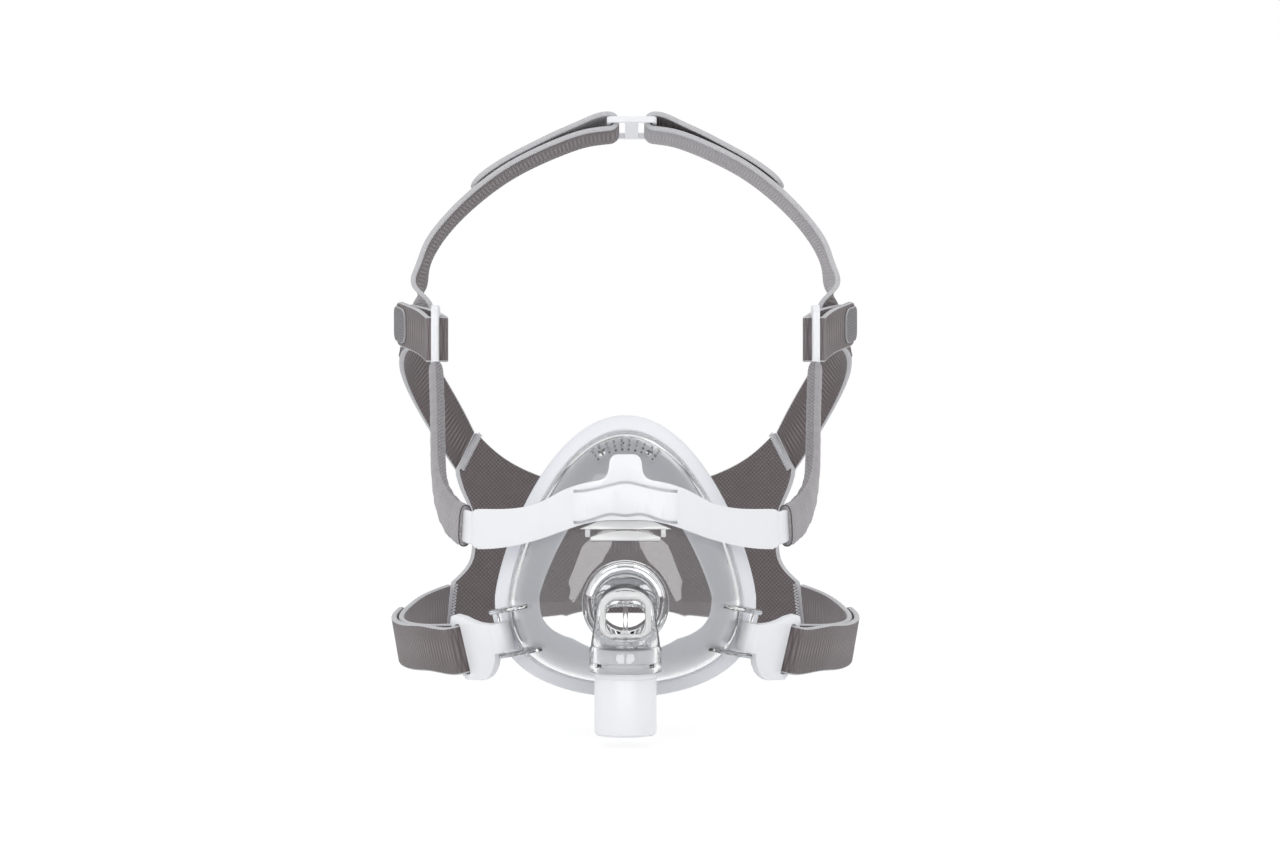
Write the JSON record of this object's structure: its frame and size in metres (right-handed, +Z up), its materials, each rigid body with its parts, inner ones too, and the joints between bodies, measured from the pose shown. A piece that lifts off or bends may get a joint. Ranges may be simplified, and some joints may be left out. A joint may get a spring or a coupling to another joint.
{
  "type": "cpap mask",
  "caption": "Full-face breathing mask: clear domed shell with soft seal, swivel elbow with hose cuff, white frame with arms, and fabric headgear straps held by a buckle and clips.",
  "frame": {"origin": "middle of the face seal's plane", "axes": "+X to the viewer's right when the mask is seen from the front, +Y back into the head, +Z up"},
  "size_m": [0.1952, 0.2538, 0.2425],
  "materials": {
    "clear_polycarbonate": "gloss",
    "silicone": "satin",
    "white_plastic": "satin",
    "knit_fabric": "knitted",
    "sleeve_fabric": "knitted",
    "hook_tab": "hook tape"
  },
  "bodies": {
    "headgear": {"mask_shell": "clear_polycarbonate", "cushion_seal": "silicone", "yoke_frame": "white_plastic", "crown_buckle": "white_plastic", "back_panel": "knit_fabric", "arm_left": "white_plastic", "arm_sleeve_left": "sleeve_fabric", "upper_strap_left": "knit_fabric", "lower_strap_left": "knit_fabric", "crown_strap_left": "knit_fabric", "upper_hook_tab_left": "hook_tab", "lower_hook_tab_left": "hook_tab", "arm_right": "white_plastic", "arm_sleeve_right": "sleeve_fabric", "upper_strap_right": "knit_fabric", "lower_strap_right": "knit_fabric", "crown_strap_right": "knit_fabric", "upper_hook_tab_right": "hook_tab", "lower_hook_tab_right": "hook_tab"},
    "elbow_body": {"elbow": "clear_polycarbonate", "elbow_retainer": "clear_polycarbonate", "valve_seat": "clear_polycarbonate"},
    "cuff": {"swivel_cuff": "white_plastic"},
    "flap": {"valve_flap": "silicone"},
    "clip_left": {"lower_clip_left": "white_plastic"},
    "clip_right": {"lower_clip_right": "white_plastic"}
  },
  "joints": [
    {"name": "elbow_swivel", "type": "hinge", "parent": "headgear", "child": "elbow_body", "pos_m": [0, -0.046, -0.0114], "axis": [0, 1, 0], "continuous": true},
    {"name": "cuff_swivel", "type": "hinge", "parent": "elbow_body", "child": "cuff", "pos_m": [0, -0.072, -0.034], "axis": [0, 0, 1], "continuous": true},
    {"name": "valve_flap_hinge", "type": "hinge", "parent": "elbow_body", "child": "flap", "pos_m": [0, -0.0766, -0.0246], "axis": [1, 0, 0], "range_deg": [0, 90], "stiffness_Nm_per_rad": 0.0002},
    {"name": "clip_pivot_left", "type": "hinge", "parent": "headgear", "child": "clip_left", "pos_m": [-0.0462, -0.026, -0.0237], "axis": [-0.225, 0, 0.9744], "range_deg": [-12, 20], "deforming": ["lower_strap_left"]},
    {"name": "clip_pivot_right", "type": "hinge", "parent": "headgear", "child": "clip_right", "pos_m": [0.0462, -0.026, -0.0237], "axis": [0.225, 0, 0.9744], "range_deg": [-20, 12], "deforming": ["lower_strap_right"]}
  ]
}
